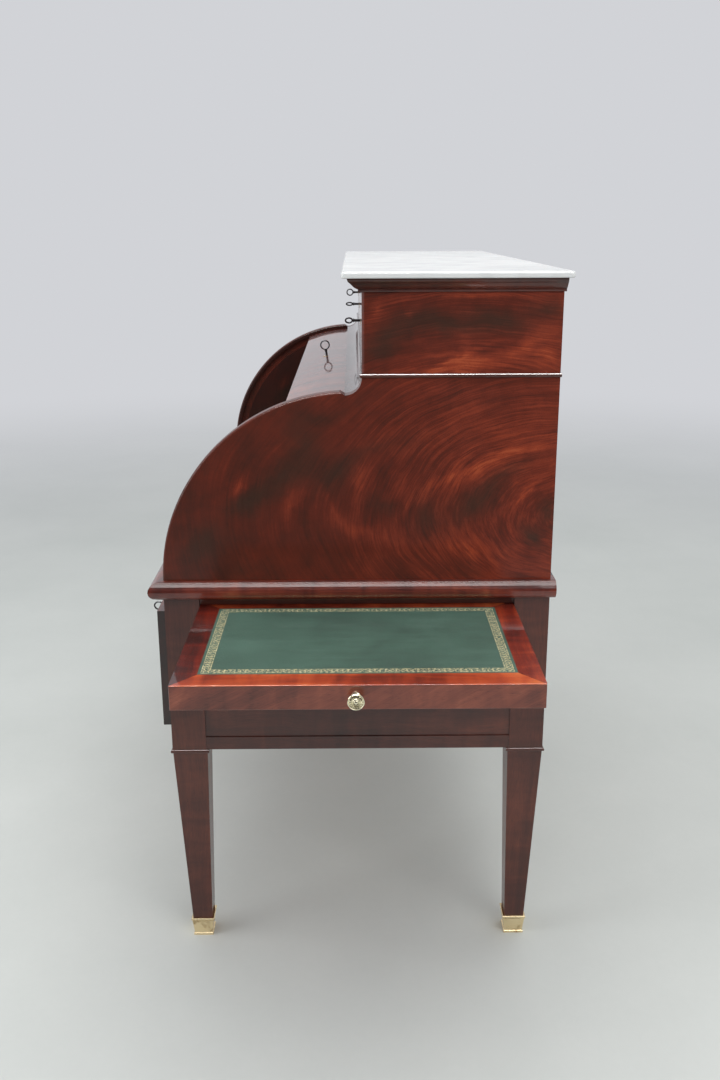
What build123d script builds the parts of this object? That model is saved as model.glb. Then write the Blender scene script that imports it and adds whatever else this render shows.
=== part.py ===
from build123d import *
import os
from math import cos, radians, sin

# Cylinder desk with side slides, in millimetres. X runs along the desk, -Y is the front where
# the user sits, +Z is up. The origin is on the floor, under the middle of the case.

# Driving sizes of the case
HALF = 650.0            # middle of the desk to the outer face of each side
FRONT = -346.0          # front face of the lower case
BACK = 346.0            # rear face of the case
POST = 63.0             # square corner posts that run down into the legs
CASE_BOTTOM = 418.0     # underside of the lower case
WAIST_BOTTOM = 718.0    # underside of the moulded board at writing height
DESK = 751.0            # writing surface
UPPER_FRONT = 10.0      # front face of the drawer case under the marble
CASE_JOINT = 1111.0     # top of the curved side panels, foot of the drawer case
MARBLE_BOTTOM = 1275.0
MARBLE_TOP = 1286.0

# Driving sizes of the cylinder fall
AXIS_Y = -10.0          # the fall turns about a line along X at this Y and at desk height
RIM_R = 336.0           # curved edge of the side panels
SHELL_R = 325.0         # outer face of the fall
SHELL = 18.0            # its thickness
LOW_EDGE = 20.9         # degrees forward of vertical at which the open fall's edge stands
SPAN = 95.0             # degrees of arc that the fall covers
GROOVE = 10.5           # depth of the grooves that its ends run in
KEY_ANGLE = 9.6         # degrees forward of vertical at which its key stands

# Boards and gaps
SIDE = 30.0             # curved side panels
CASE_SIDE = 16.0        # sides of the drawer case
FRAME = 22.0            # rails and panels of the lower case
FRONT_T = 20.0          # drawer fronts
STILE = 27.0            # uprights each side of the kneehole
CENTRE = 282.0          # middle of the desk to the centre drawer's stiles
RAIL_TOP = 671.5        # underside of the rail over the front drawers
CENTRE_RAIL = 557.0     # top of the rail under the centre drawer
LOW_RAIL = 438.0        # top of the rails under the deep drawers
GAP = 1.0               # clearance round a drawer
REST = 0.4              # clearance under a sliding piece

# Side slides
SLIDE_OUT = 348.0       # travel of each slide; the right one stands out and the left one in
SLIDE_LONG = 470.0
SLIDE_TOP = 703.0
SLIDE_BOARD = 21.6
LIP = 21.5
LIP_HIGH = 40.0
KNOB_FORWARD = 3.0      # how far the knob sits in front of the middle of the lip
SHELF_BOTTOM = 673.0    # underside of the shelf that the slides run on
SHELF_TOP = 681.0

AJAR = 26.0             # how far the right deep drawer stands open


def block(x0, x1, y0, y1, z0, z1):
    """A board between two corners."""
    centre = Pos((x0 + x1) / 2, (y0 + y1) / 2, (z0 + z1) / 2)
    return centre * Box(x1 - x0, y1 - y0, z1 - z0)


def turned(shape):
    """The same piece at the other end of the desk."""
    return mirror(shape, about=Plane.YZ)


def both_ends(shape):
    return [shape, turned(shape)]


def save(node, *solids):
    pieces = [s for piece in solids for s in (piece.solids() if hasattr(piece, "solids") else [piece])]
    shape = pieces[0] if len(pieces) == 1 else Compound(children=pieces)
    export_step(shape, f"parts/{node}.step")


def side_profile(edges, x0, x1):
    """Extrudes a closed outline drawn in Y and Z from x0 to x1."""
    face = Plane.YZ * make_face([e for edge in edges for e in edge.edges()])
    return Pos(x0, 0, 0) * extrude(face, amount=x1 - x0, dir=(1, 0, 0))


def on_arc(radius, forward):
    """Y and Z of a point about the fall's axis, forward degrees ahead of vertical."""
    angle = radians(forward)
    return (AXIS_Y - radius * sin(angle), DESK + radius * cos(angle))


def sector(r0, r1, back, forward, x0, x1):
    """A curved slab about the fall's axis, between two angles forward of vertical."""
    centre = (AXIS_Y, DESK)
    outer = CenterArc(centre, r1, 90 + back, forward - back)
    inner = CenterArc(centre, r0, 90 + back, forward - back)
    ends = [Line(outer @ 0, inner @ 0), Line(outer @ 1, inner @ 1)]
    return side_profile([outer, inner] + ends, x0, x1)


def strip(outline, inner_a, outer_a, inner_b, outer_b):
    """A length of moulding between four plan corners. Its ends are cut from inner to outer.

    outline gives the section as points (part of the reach, Z), reach being the run's width.
    """
    ia, oa, ib, ob = (Vector(*p) for p in (inner_a, outer_a, inner_b, outer_b))
    run = (ib - ia).normalized()
    out = run.cross(Vector(0, 0, 1))
    if out.dot(oa - ia) < 0:
        run = run * -1
        ia, oa, ib, ob = ib, ob, ia, oa
        out = out * -1
    reach = out.dot(oa - ia)
    extra = max(abs(run.dot(oa - ia)), abs(run.dot(ob - ib)))
    start = ia - run * extra
    plane = Plane(origin=(start.X, start.Y, 0), x_dir=(out.X, out.Y, 0), z_dir=(-run.X, -run.Y, 0))
    section = make_face(Polyline([(p * reach, z) for p, z in outline], close=True))
    length = (ib - ia).length + 2 * extra
    bar = extrude(plane * section, amount=-length)
    lows, highs = min(z for _, z in outline), max(z for _, z in outline)
    plan = make_face(Polyline([(v.X, v.Y) for v in (ia, oa, ob, ib)], close=True))
    cutter = Pos(0, 0, lows - 1) * extrude(plan, amount=highs - lows + 2, dir=(0, 0, 1))
    return bar & cutter


def u_moulding(outline, side_x, side_reach, front_y, front_reach, back_y):
    """Front and side lengths of a moulding, mitred at the two front corners."""
    x_in, x_out = side_x, side_x + side_reach
    y_in, y_out = front_y, front_y - front_reach
    front = strip(outline, (-x_in, y_in), (-x_out, y_out), (x_in, y_in), (x_out, y_out))
    right = strip(outline, (x_in, y_in), (x_out, y_out), (x_in, back_y), (x_out, back_y))
    return [front] + both_ends(right)


def half_round(z0, z1, start, count=10):
    """Section points of a moulding whose nose is half round, start being where it begins."""
    middle, half = (z0 + z1) / 2, (z1 - z0) / 2
    nose = [-90 + 180 * i / count for i in range(count + 1)]
    points = [(start + (1 - start) * cos(radians(a)), middle + half * sin(radians(a))) for a in nose]
    return [(0, z0)] + points + [(0, z1)]


# Corner posts, legs and their brass feet

LEG_TOP = 65.0
LEG_INSET = 0.3
LEG_FOOT = 38.0
OUTER_TAPER = 18.3
SABOT_HIGH = 40.0
TENON = 30.0
BEAD = 7.0


def square(x0, y0, side, z):
    return Pos(x0 + side / 2, y0 + side / 2, z) * Rectangle(side, side)


def leg_plan(corner_x, corner_y, toward, side, inset):
    """Low corner of a square set in from the outer corner of the post, toward the middle."""
    x = corner_x - inset - side
    y = corner_y + inset if toward > 0 else corner_y - inset - side
    return x, y


def leg(corner_y, toward):
    """The right-hand leg whose outer corner is at corner_y, toward +1 or -1 along Y."""
    y0 = corner_y if toward > 0 else corner_y - POST
    post = block(HALF - POST, HALF, y0, y0 + POST, CASE_BOTTOM, WAIST_BOTTOM)
    high = square(*leg_plan(HALF, corner_y, toward, LEG_TOP, LEG_INSET), LEG_TOP, CASE_BOTTOM)
    low_at = leg_plan(HALF, corner_y, toward, LEG_FOOT, OUTER_TAPER)
    low = square(*low_at, LEG_FOOT, SABOT_HIGH)
    taper = loft([low, high])
    edge = (LEG_FOOT - TENON) / 2
    x0, y1 = low_at[0] + edge, low_at[1] + edge
    tenon = block(x0, x0 + TENON, y1, y1 + TENON, 4.0, SABOT_HIGH)
    return post + taper + tenon


def sabot(corner_y, toward):
    """A cast brass shoe: a flared rim over a tapered body with a small lip at the floor."""
    x, y = leg_plan(HALF, corner_y, toward, LEG_FOOT, OUTER_TAPER)
    levels = [(0.0, 38.5), (3.5, 38.5), (5.0, 35.0), (33.0, 41.5), (36.0, 45.0), (39.0, 45.0), (40.0, 43.0)]
    body = None
    for (z0, w0), (z1, w1) in zip(levels, levels[1:]):
        centre = (x + LEG_FOOT / 2, y + LEG_FOOT / 2)
        tier = loft([Pos(*centre, z0) * Rectangle(w0, w0), Pos(*centre, z1) * Rectangle(w1, w1)])
        body = tier if body is None else body + tier
    edge = (LEG_FOOT - TENON) / 2
    socket = block(x + edge, x + edge + TENON, y + edge, y + edge + TENON, 4.0, SABOT_HIGH)
    return body - socket


def leg_bead(corner_y, toward):
    """The half-round collar that marks the foot of the post."""
    x, y = leg_plan(HALF, corner_y, toward, LEG_TOP, LEG_INSET)
    centre = Pos(x + LEG_TOP / 2, y + LEG_TOP / 2, CASE_BOTTOM - BEAD / 2)
    ring = Box(LEG_TOP + BEAD, LEG_TOP + BEAD, BEAD)
    ring = fillet(ring.edges().filter_by(Axis.Z, reverse=True), BEAD / 2 - 0.1)
    return centre * (ring - Box(LEG_TOP, LEG_TOP, BEAD + 2))


def post_clear(board, side=POST):
    """A board of the lower case with its corners cut out for the posts."""
    for sign in (-1, 1):
        x0, x1 = sorted((sign * (HALF - side), sign * (HALF + 5)))
        board -= block(x0, x1, FRONT - 5, FRONT + side, 0, DESK)
        board -= block(x0, x1, BACK - side, BACK + 12, 0, DESK)
    return board


# Lower case

INSIDE = HALF - FRAME
RAIL_BACK = FRONT + FRAME
OPEN_Y0, OPEN_Y1 = FRONT + POST, BACK - POST
OPENING_LOW = SLIDE_TOP - LIP_HIGH - GAP
END_RAIL_TOP = CASE_BOTTOM + 25.0


def side_framing():
    """Bottom rail, thin sunk panel and top rail between the two posts of the right side."""
    rail = block(INSIDE, HALF - 1.0, OPEN_Y0, OPEN_Y1, CASE_BOTTOM, END_RAIL_TOP)
    panel = block(INSIDE, HALF - 3.5, OPEN_Y0, OPEN_Y1, END_RAIL_TOP, OPENING_LOW)
    top = block(INSIDE, HALF - 6.0, OPEN_Y0, OPEN_Y1, SLIDE_TOP + GAP, WAIST_BOTTOM)
    return [rail, panel, top]


def fielded(board, fields, y, depth, z0, z1):
    """A rear panel with shallow sunk fields between its stiles."""
    for x0, x1 in fields:
        board -= block(x0, x1, y - depth, y + 1, z0, z1)
    return board


def lower_case():
    save("lower_back_panel", fielded(
        block(-HALF + POST, HALF - POST, BACK - 18, BACK - 2, CASE_BOTTOM, WAIST_BOTTOM),
        [(-540, -230), (-180, 180), (230, 540)], BACK - 2, 4, 461, 676))
    save("front_top_rail", block(-HALF + POST, HALF - POST, FRONT, RAIL_BACK, RAIL_TOP, WAIST_BOTTOM))
    stile = block(CENTRE, CENTRE + STILE, FRONT, RAIL_BACK, CASE_BOTTOM, RAIL_TOP)
    save("front_stiles", *both_ends(stile))
    low_rail = block(CENTRE + STILE, HALF - POST, FRONT, RAIL_BACK, CASE_BOTTOM, LOW_RAIL - 0.5)
    middle_rail = block(-CENTRE, CENTRE, FRONT, RAIL_BACK, CENTRE_RAIL - 20, CENTRE_RAIL)
    save("front_lower_rails", middle_rail, *both_ends(low_rail))
    partition = block(290.0, CENTRE + STILE, RAIL_BACK, BACK - 18, CASE_BOTTOM, SHELF_BOTTOM)
    save("kneehole_partitions", *both_ends(partition))
    floor = post_clear(block(CENTRE + STILE, INSIDE, RAIL_BACK, BACK - 18, LOW_RAIL - 16, LOW_RAIL))
    outer_guide = block(583.5, INSIDE, OPEN_Y0, OPEN_Y1, LOW_RAIL, LOW_RAIL + 20)
    save("pedestal_floors", *both_ends(floor), *both_ends(outer_guide))
    ceiling = block(-290, 290, RAIL_BACK, BACK - 18, CENTRE_RAIL - 16, CENTRE_RAIL)
    inner_guide = block(281.0, 290.0, RAIL_BACK, BACK - 18, CENTRE_RAIL, CENTRE_RAIL + 14)
    save("kneehole_ceiling", ceiling, *both_ends(inner_guide))
    save("slide_shelf", post_clear(block(-INSIDE, INSIDE, RAIL_BACK, BACK - 18, SHELF_BOTTOM, SHELF_TOP)))


def slide_guides():
    """L-shaped guides that hold the slides down, and the two bars that stop them."""
    long = HALF - POST
    front = block(-long, long, RAIL_BACK, OPEN_Y0, SHELF_TOP, WAIST_BOTTOM)
    front += block(-long, long, OPEN_Y0, OPEN_Y0 + 20, SLIDE_TOP + GAP, WAIST_BOTTOM)
    back = block(-long, long, OPEN_Y1, BACK - 18, SHELF_TOP, WAIST_BOTTOM)
    back += block(-long, long, OPEN_Y1 - 20, OPEN_Y1, SLIDE_TOP + GAP, WAIST_BOTTOM)
    inner_end = HALF - SLIDE_LONG
    stop = block(inner_end - 30, inner_end - 1, OPEN_Y0, OPEN_Y1, SHELF_TOP, SLIDE_TOP - 2)
    return [front, back] + both_ends(stop)


# Writing level

BED_HALF = HALF - 20
BED_FRONT = FRONT + 20
BED_BACK = BACK + 8
LEATHER = 1.2
PAD_X, PAD_Y0, PAD_Y1 = 560.0, -302.0, 42.0


def writing_level():
    save("waist_moulding", *u_moulding(
        half_round(WAIST_BOTTOM, DESK, 0.6), BED_HALF, 40.0, BED_FRONT, 45.0, BED_BACK))
    bed = block(-BED_HALF, BED_HALF, BED_FRONT, BED_BACK, WAIST_BOTTOM, DESK)
    pad = block(-PAD_X, PAD_X, PAD_Y0, PAD_Y1, DESK - LEATHER, DESK)
    save("writing_bed", bed - pad)
    save("writing_leather", pad)


# Upper case

HOLLOW_R = 29.0
HOLLOW_Y = UPPER_FRONT - HOLLOW_R
HOLLOW_Z = CASE_JOINT - 1
CLEAR_R = SHELL_R + 1.8


def side_panel():
    """Right side: a quarter round, a small quirk, then a hollow up to the drawer case."""
    rim_end = on_arc(RIM_R, 3.0)
    rim = CenterArc((AXIS_Y, DESK), RIM_R, 93.0, 87.0)
    low_point = (HOLLOW_Y, HOLLOW_Z - HOLLOW_R)
    hollow = CenterArc((HOLLOW_Y, HOLLOW_Z), HOLLOW_R, -90, 90)
    edges = [
        rim,
        Line(rim_end, low_point),
        hollow,
        Polyline((UPPER_FRONT, HOLLOW_Z), (UPPER_FRONT, CASE_JOINT), (BACK, CASE_JOINT),
                 (BACK, DESK), (AXIS_Y - RIM_R, DESK)),
    ]
    panel = side_profile(edges, HALF - SIDE, HALF)
    long_edges = panel.edges().filter_by(GeomType.CIRCLE).filter_by(lambda e: e.radius > 300)
    panel = fillet(long_edges, 4.5)
    groove = sector(SHELL_R - SHELL - 0.4, SHELL_R + 0.4, LOW_EDGE - SPAN - 2, 91,
                    HALF - SIDE - 1, HALF - SIDE + GROOVE)
    return panel - groove


def cylinder_cover():
    """The full-width hollow moulding that closes the gap between the fall and the drawers."""
    lip = 0.7
    front_z = DESK + (CLEAR_R ** 2 - (HOLLOW_Y - lip - AXIS_Y) ** 2) ** 0.5
    rear_y = UPPER_FRONT + 34
    rear_z = DESK + (CLEAR_R ** 2 - (rear_y - AXIS_Y) ** 2) ** 0.5
    under = ThreePointArc((HOLLOW_Y - lip, front_z), (AXIS_Y, DESK + CLEAR_R), (rear_y, rear_z))
    edges = [
        under,
        Polyline((rear_y, rear_z), (rear_y, CASE_JOINT), (UPPER_FRONT, CASE_JOINT), (UPPER_FRONT, HOLLOW_Z)),
        CenterArc((HOLLOW_Y, HOLLOW_Z), HOLLOW_R, -90, 90),
        Polyline((HOLLOW_Y, HOLLOW_Z - HOLLOW_R), (HOLLOW_Y - lip, HOLLOW_Z - HOLLOW_R),
                 (HOLLOW_Y - lip, front_z)),
    ]
    width = HALF - SIDE
    return side_profile(edges, -width, width)


DRAWER_TOP = 1252.0
CASE_FLOOR = 1123.0
DIVIDER = 14.0
THIRD = HALF / 3


def upper_case_side():
    side = block(HALF - CASE_SIDE, HALF, UPPER_FRONT, BACK, CASE_JOINT, MARBLE_BOTTOM)
    corner = side.edges().filter_by(Axis.Z).sort_by(Axis.Y)[:2].sort_by(Axis.X)[-1]
    return fillet(corner, 7.0)


CORNICE = [
    (0.0, 1252.2), (0.18, 1252.2), (0.25, 1253.0), (0.27, 1254.4), (0.24, 1255.8), (0.24, 1256.6),
    (0.34, 1257.6), (0.48, 1259.4), (0.60, 1261.8), (0.71, 1264.6), (0.82, 1267.2), (0.92, 1269.0),
    (0.97, 1270.8), (1.0, 1273.0), (1.0, MARBLE_BOTTOM), (0.0, MARBLE_BOTTOM),
]


def marble():
    slab = block(-HALF - 27, HALF + 27, UPPER_FRONT - 34, BACK + 13, MARBLE_BOTTOM, MARBLE_TOP)
    slab = fillet(slab.edges().filter_by(Axis.Z), 7.0)
    slab = fillet(slab.faces().sort_by(Axis.Z)[-1].edges(), 4.5)
    return fillet(slab.faces().sort_by(Axis.Z)[0].edges(), 2.5)


def upper_back():
    """The rear panel: behind the fall and behind the drawer case, with sunk fields."""
    low = block(-HALF + SIDE, HALF - SIDE, BACK - 16, BACK - 2, DESK, CASE_JOINT)
    high = block(-HALF + CASE_SIDE, HALF - CASE_SIDE, BACK - 16, BACK - 2, CASE_JOINT, DRAWER_TOP)
    fields = [(-570, -220), (-170, 170), (220, 570)]
    panel = fielded(low + high, fields, BACK - 2, 4, DESK + 50, CASE_JOINT - 40)
    return fielded(panel, fields, BACK - 2, 4, CASE_JOINT + 20, DRAWER_TOP - 30)


def upper_case():
    right = side_panel()
    save("side_panel_right", right)
    save("side_panel_left", turned(right))
    save("cylinder_cover", cylinder_cover())
    side = upper_case_side()
    save("drawer_case_side_right", side)
    save("drawer_case_side_left", turned(side))
    inner = HALF - CASE_SIDE
    floor = block(-inner, inner, UPPER_FRONT, BACK - 16, CASE_JOINT, CASE_FLOOR)
    top = block(-inner, inner, UPPER_FRONT, BACK - 2, DRAWER_TOP, MARBLE_BOTTOM)
    save("drawer_case_boards", floor, top)
    divider = block(THIRD - DIVIDER / 2, THIRD + DIVIDER / 2, UPPER_FRONT, BACK - 16, CASE_FLOOR, DRAWER_TOP)
    save("drawer_case_dividers", *both_ends(divider))
    save("upper_bead", *u_moulding(
        half_round(CASE_JOINT - 0.5, CASE_JOINT + 6.5, 0.25), HALF, 4.0, UPPER_FRONT, 4.0, BACK + 2))
    save("cornice", *u_moulding(CORNICE, HALF, 21.0, UPPER_FRONT, 24.0, BACK + 3))
    save("upper_back_panel", upper_back())
    save("marble_top", marble())


# Keys, each a shank with a ring bow and a bit that turns in a chamber

SHANK_R = 2.4
BIT = 7.2
BIT_DEEP = 10.4
BIT_LONG = 3.6
CHAMBER_R = 7.9


def key(bow_at, bow_r):
    """A key along local +Z, Z = 0 being the face that it enters. Its ring bow lies in local XZ."""
    ring = Pos(0, 0, bow_at) * Rot(90, 0, 0) * Torus(bow_r, 1.5)
    shank_top = bow_at - bow_r + 0.8
    shank_low = -BIT_DEEP - BIT_LONG
    shank = Pos(0, 0, (shank_top + shank_low) / 2) * Cylinder(SHANK_R, shank_top - shank_low)
    collar = Pos(0, 0, shank_top - 3.0) * Cylinder(3.6, 1.6)
    collar += Pos(0, 0, shank_top - 5.6) * Cylinder(3.1, 1.0)
    bit = block(0, BIT, -0.9, 0.9, shank_low, -BIT_DEEP)
    return shank + collar + ring + bit


def keyway():
    """What a lock removes from a panel: keyhole, slot for the bit and the chamber it turns in."""
    deep = BIT_DEEP + BIT_LONG + 0.6
    hole = Pos(0, 0, -deep / 2 + 1) * Cylinder(SHANK_R + 0.06, deep + 2)
    slot = block(0, BIT + 0.5, -1.15, 1.15, -BIT_DEEP - 1, 1)
    chamber = Pos(0, 0, -deep + (BIT_LONG + 1.2) / 2) * Cylinder(CHAMBER_R, BIT_LONG + 1.2)
    return hole + slot + chamber


def facing_front(x, y, z, turn):
    """Places a key at a keyhole in a front face, its bow turned about the shank."""
    return Pos(x, y, z) * Rot(90, 0, 0) * Rot(0, 0, turn)


# Drawers

def tray(x0, x1, y0, y1, z0, z1, wall, bottom):
    """Sides, back and bottom of a drawer, open to the front where its face closes it."""
    left = block(x0, x0 + wall, y0, y1, z0, z1)
    right = block(x1 - wall, x1, y0, y1, z0, z1)
    back = block(x0 + wall, x1 - wall, y1 - wall, y1, z0, z1 - 8)
    base = block(x0 + wall, x1 - wall, y0, y1 - wall, z0 + 3, z0 + 3 + bottom)
    return [left, right, back, base]


UPPER_KEY_BOW = 22.0
UPPER_KEYS = {"left": (90.0, 7.8), "centre": (30.0, 6.9), "right": (48.0, 6.4)}  # turn, bow radius


def upper_drawers():
    inner = HALF - CASE_SIDE
    edge = THIRD - DIVIDER / 2
    bays = {"left": (-inner, -edge - DIVIDER), "centre": (-edge, edge), "right": (edge + DIVIDER, inner)}
    key_z = (CASE_FLOOR + DRAWER_TOP) / 2
    for name, (x0, x1) in bays.items():
        middle = (x0 + x1) / 2
        front = block(
            x0 + GAP, x1 - GAP, UPPER_FRONT, UPPER_FRONT + FRONT_T, CASE_FLOOR + GAP, DRAWER_TOP - GAP)
        at_lock = facing_front(middle, UPPER_FRONT, key_z, -90)
        save(f"upper_drawer_{name}_front", front - at_lock * keyway())
        save(f"upper_drawer_{name}_box", *tray(
            x0 + 2, x1 - 2, UPPER_FRONT + FRONT_T, BACK - 30, CASE_FLOOR + REST, DRAWER_TOP - 14, 9, 6))
        turn, bow_r = UPPER_KEYS[name]
        save(f"upper_drawer_{name}_key",
             facing_front(middle, UPPER_FRONT, key_z, turn) * key(UPPER_KEY_BOW, bow_r))


LOCK_DROP = 40.0
BOX_TOP = RAIL_TOP - 12.5


def front_drawers():
    deep0, deep1 = CENTRE + STILE, HALF - POST
    for name, sign, ajar in (("right", 1, AJAR), ("left", -1, 0.0)):
        x0, x1 = sorted((sign * deep0, sign * deep1))
        y = FRONT - ajar
        face = block(x0 + GAP, x1 - GAP, y, y + FRONT_T, LOW_RAIL + 0.5, RAIL_TOP - GAP)
        key_z = RAIL_TOP - LOCK_DROP
        at_lock = facing_front((x0 + x1) / 2, y, key_z, -90)
        save(f"deep_drawer_{name}_front", face - at_lock * keyway())
        inner0, inner1 = sorted((sign * (deep0 + 1.5), sign * (deep1 - 4.5)))
        save(f"deep_drawer_{name}_box", *tray(
            inner0, inner1, y + FRONT_T, y + FRONT_T + 600, LOW_RAIL + REST, BOX_TOP, 12, 8))
        if name == "right":
            save("deep_drawer_right_key", facing_front((x0 + x1) / 2, y, key_z, 75) * key(22.0, 9.0))
    face = block(-CENTRE + GAP, CENTRE - GAP, FRONT, FRONT + FRONT_T, CENTRE_RAIL + 0.5, RAIL_TOP - GAP)
    at_lock = facing_front(0, FRONT, RAIL_TOP - LOCK_DROP, -90)
    save("centre_drawer_front", face - at_lock * keyway())
    save("centre_drawer_box", *tray(
        -CENTRE + 2, CENTRE - 2, FRONT + FRONT_T, BACK - 76, CENTRE_RAIL + REST, BOX_TOP, 11, 7))


# Side slides

def side_slide():
    """The right slide: a framed board with a deeper lip, sunk on top for its leather."""
    end = HALF + SLIDE_OUT
    middle = (OPEN_Y0 + OPEN_Y1) / 2
    half = (OPEN_Y1 - OPEN_Y0) / 2 - 0.7
    y0, y1 = middle - half, middle + half
    board = block(end - SLIDE_LONG, end - LIP / 2, y0, y1, SLIDE_TOP - SLIDE_BOARD, SLIDE_TOP)
    lip = block(end - LIP, end, y0, y1, SLIDE_TOP - LIP_HIGH, SLIDE_TOP)
    leather = block(HALF + 14, end - 42, middle - 245, middle + 245, SLIDE_TOP - LEATHER, SLIDE_TOP)
    slide = board + lip
    rim = slide.faces().sort_by(Axis.X)[-1].edges()
    return fillet(rim, 1.5) - leather, leather


def slide_knob():
    """A turned brass knob on a slim neck, along +X from the face of the lip."""
    outline = Polyline(
        (0, 0), (8.0, 0), (8.0, 1.2), (6.6, 2.4), (4.8, 3.2), (4.3, 6.0), (4.6, 8.6), (6.6, 10.8),
        (10.2, 12.6), (12.6, 14.6), (13.1, 16.4), (12.9, 18.0), (11.9, 19.0), (10.9, 18.9),
        (10.2, 18.3), (7.4, 19.0), (5.0, 19.2), (4.4, 19.8), (2.2, 20.4), (0, 20.6), close=True)
    knob = revolve(make_face(Plane.XZ * outline), Axis.Z)
    at = (HALF + SLIDE_OUT, (OPEN_Y0 + OPEN_Y1) / 2 - KNOB_FORWARD, SLIDE_TOP - LIP_HIGH / 2)
    return Pos(*at) * Rot(0, 90, 0) * knob


def side_slides():
    slide, leather = side_slide()
    named = (("side_slide", slide), ("side_slide_leather", leather), ("side_slide_knob", slide_knob()))
    for node, shape in named:
        save(f"{node}_right", shape)
        save(f"{node}_left", Pos(SLIDE_OUT, 0, 0) * turned(shape))


# Cylinder fall

def cylinder_fall():
    reach = HALF - SIDE + GROOVE - 0.5
    shell = sector(SHELL_R - SHELL, SHELL_R, LOW_EDGE - SPAN, LOW_EDGE, -reach, reach)
    y, z = on_arc(SHELL_R, KEY_ANGLE)
    at_lock = Pos(0, y, z) * Rot(KEY_ANGLE, 0, 0)
    lock = at_lock * block(-32, 32, -24, 24, -26, -15)
    save("cylinder_shell", shell - at_lock * Rot(0, 0, -90) * keyway() - lock)
    save("cylinder_lock", lock)
    save("cylinder_key", at_lock * Rot(0, 0, 90) * key(25.4, 9.6))


# Fitted gallery behind the writing surface

GALLERY_X = 600.0
GALLERY_Y0, GALLERY_Y1 = 80.0, 235.0
GALLERY_TOP = 909.0
GALLERY_SHELF = 819.0
BOARD = 8.0
BAY = 198.0


def gallery():
    x, y0, y1 = GALLERY_X, GALLERY_Y0, GALLERY_Y1
    inner = x - BOARD
    end = block(inner, x, y0, y1, DESK, GALLERY_TOP - BOARD)
    base = block(-inner, inner, y0, y1 - BOARD, DESK, DESK + 5)
    shelf = block(-inner, inner, y0, y1 - BOARD, GALLERY_SHELF, GALLERY_SHELF + BOARD)
    top = block(-x, x, y0, y1, GALLERY_TOP - BOARD, GALLERY_TOP)
    back = block(-inner, inner, y1 - BOARD, y1, DESK, GALLERY_TOP - BOARD)
    low = block(BAY, BAY + BOARD, y0, y1 - BOARD, DESK + 5, GALLERY_SHELF)
    high = block(BAY, BAY + BOARD, y0, y1 - BOARD, GALLERY_SHELF + BOARD, GALLERY_TOP - BOARD)
    save("gallery_case", base, shelf, top, back, *both_ends(end), *both_ends(low), *both_ends(high))
    bays = {"left": (-inner, -BAY - BOARD), "centre": (-BAY, BAY), "right": (BAY + BOARD, inner)}
    for name, (b0, b1) in bays.items():
        z0, z1 = DESK + 5 + REST, GALLERY_SHELF - GAP
        front = block(b0 + GAP, b1 - GAP, y0 + 1, y0 + 13, z0, z1)
        save(f"gallery_drawer_{name}", front, *tray(
            b0 + GAP, b1 - GAP, y0 + 13, y1 - BOARD - 3, z0, z1 - 6, 6, 4))


def legs():
    for place, corner_y, toward in (("front", FRONT, 1), ("back", BACK, -1)):
        right = leg(corner_y, toward)
        save(f"leg_{place}_right", right)
        save(f"leg_{place}_left", turned(right))
    corners = ((FRONT, 1), (BACK, -1))
    save("brass_sabots", *[s for corner in corners for s in both_ends(sabot(*corner))])
    save("leg_beads", *[s for corner in corners for s in both_ends(leg_bead(*corner))])


os.makedirs("parts", exist_ok=True)
legs()
framing = Compound(children=side_framing())
save("side_framing_right", framing)
save("side_framing_left", turned(framing))
lower_case()
save("slide_guides", *slide_guides())
writing_level()
upper_case()
upper_drawers()
front_drawers()
side_slides()
cylinder_fall()
gallery()
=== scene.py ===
import math
import bmesh
import bpy
from mathutils import Matrix, Vector


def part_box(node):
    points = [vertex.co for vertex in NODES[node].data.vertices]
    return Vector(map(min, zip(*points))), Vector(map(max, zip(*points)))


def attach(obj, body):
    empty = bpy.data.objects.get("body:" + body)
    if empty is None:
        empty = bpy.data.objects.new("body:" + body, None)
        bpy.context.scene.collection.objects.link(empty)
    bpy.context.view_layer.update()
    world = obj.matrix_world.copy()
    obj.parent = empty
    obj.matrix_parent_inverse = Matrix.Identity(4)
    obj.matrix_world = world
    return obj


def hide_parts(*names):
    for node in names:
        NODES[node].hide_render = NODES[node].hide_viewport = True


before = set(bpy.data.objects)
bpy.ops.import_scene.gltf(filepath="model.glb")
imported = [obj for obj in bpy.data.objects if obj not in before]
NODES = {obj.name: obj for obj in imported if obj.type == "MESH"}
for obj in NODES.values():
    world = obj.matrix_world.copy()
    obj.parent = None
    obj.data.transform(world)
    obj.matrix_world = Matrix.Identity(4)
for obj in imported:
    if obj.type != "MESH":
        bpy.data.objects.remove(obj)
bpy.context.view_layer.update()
SIDES = (("right", 1), ("left", -1))    # name and direction of X
AXIS = (-0.010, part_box("writing_leather")[1].z)     # Y and Z of the line that the fall turns about
SHELL_RADIUS = 0.325                # outside of the fall
KEY_ANGLE = math.radians(9.6)       # from straight up to the fall's keyhole, at rest


# Node graphs

def srgb(red, green, blue):
    """Linear colour of a display colour given as 0 to 255."""
    def linear(v):
        v /= 255
        return v / 12.92 if v <= 0.04045 else ((v + 0.055) / 1.055) ** 2.4
    return (linear(red), linear(green), linear(blue), 1.0)


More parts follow.
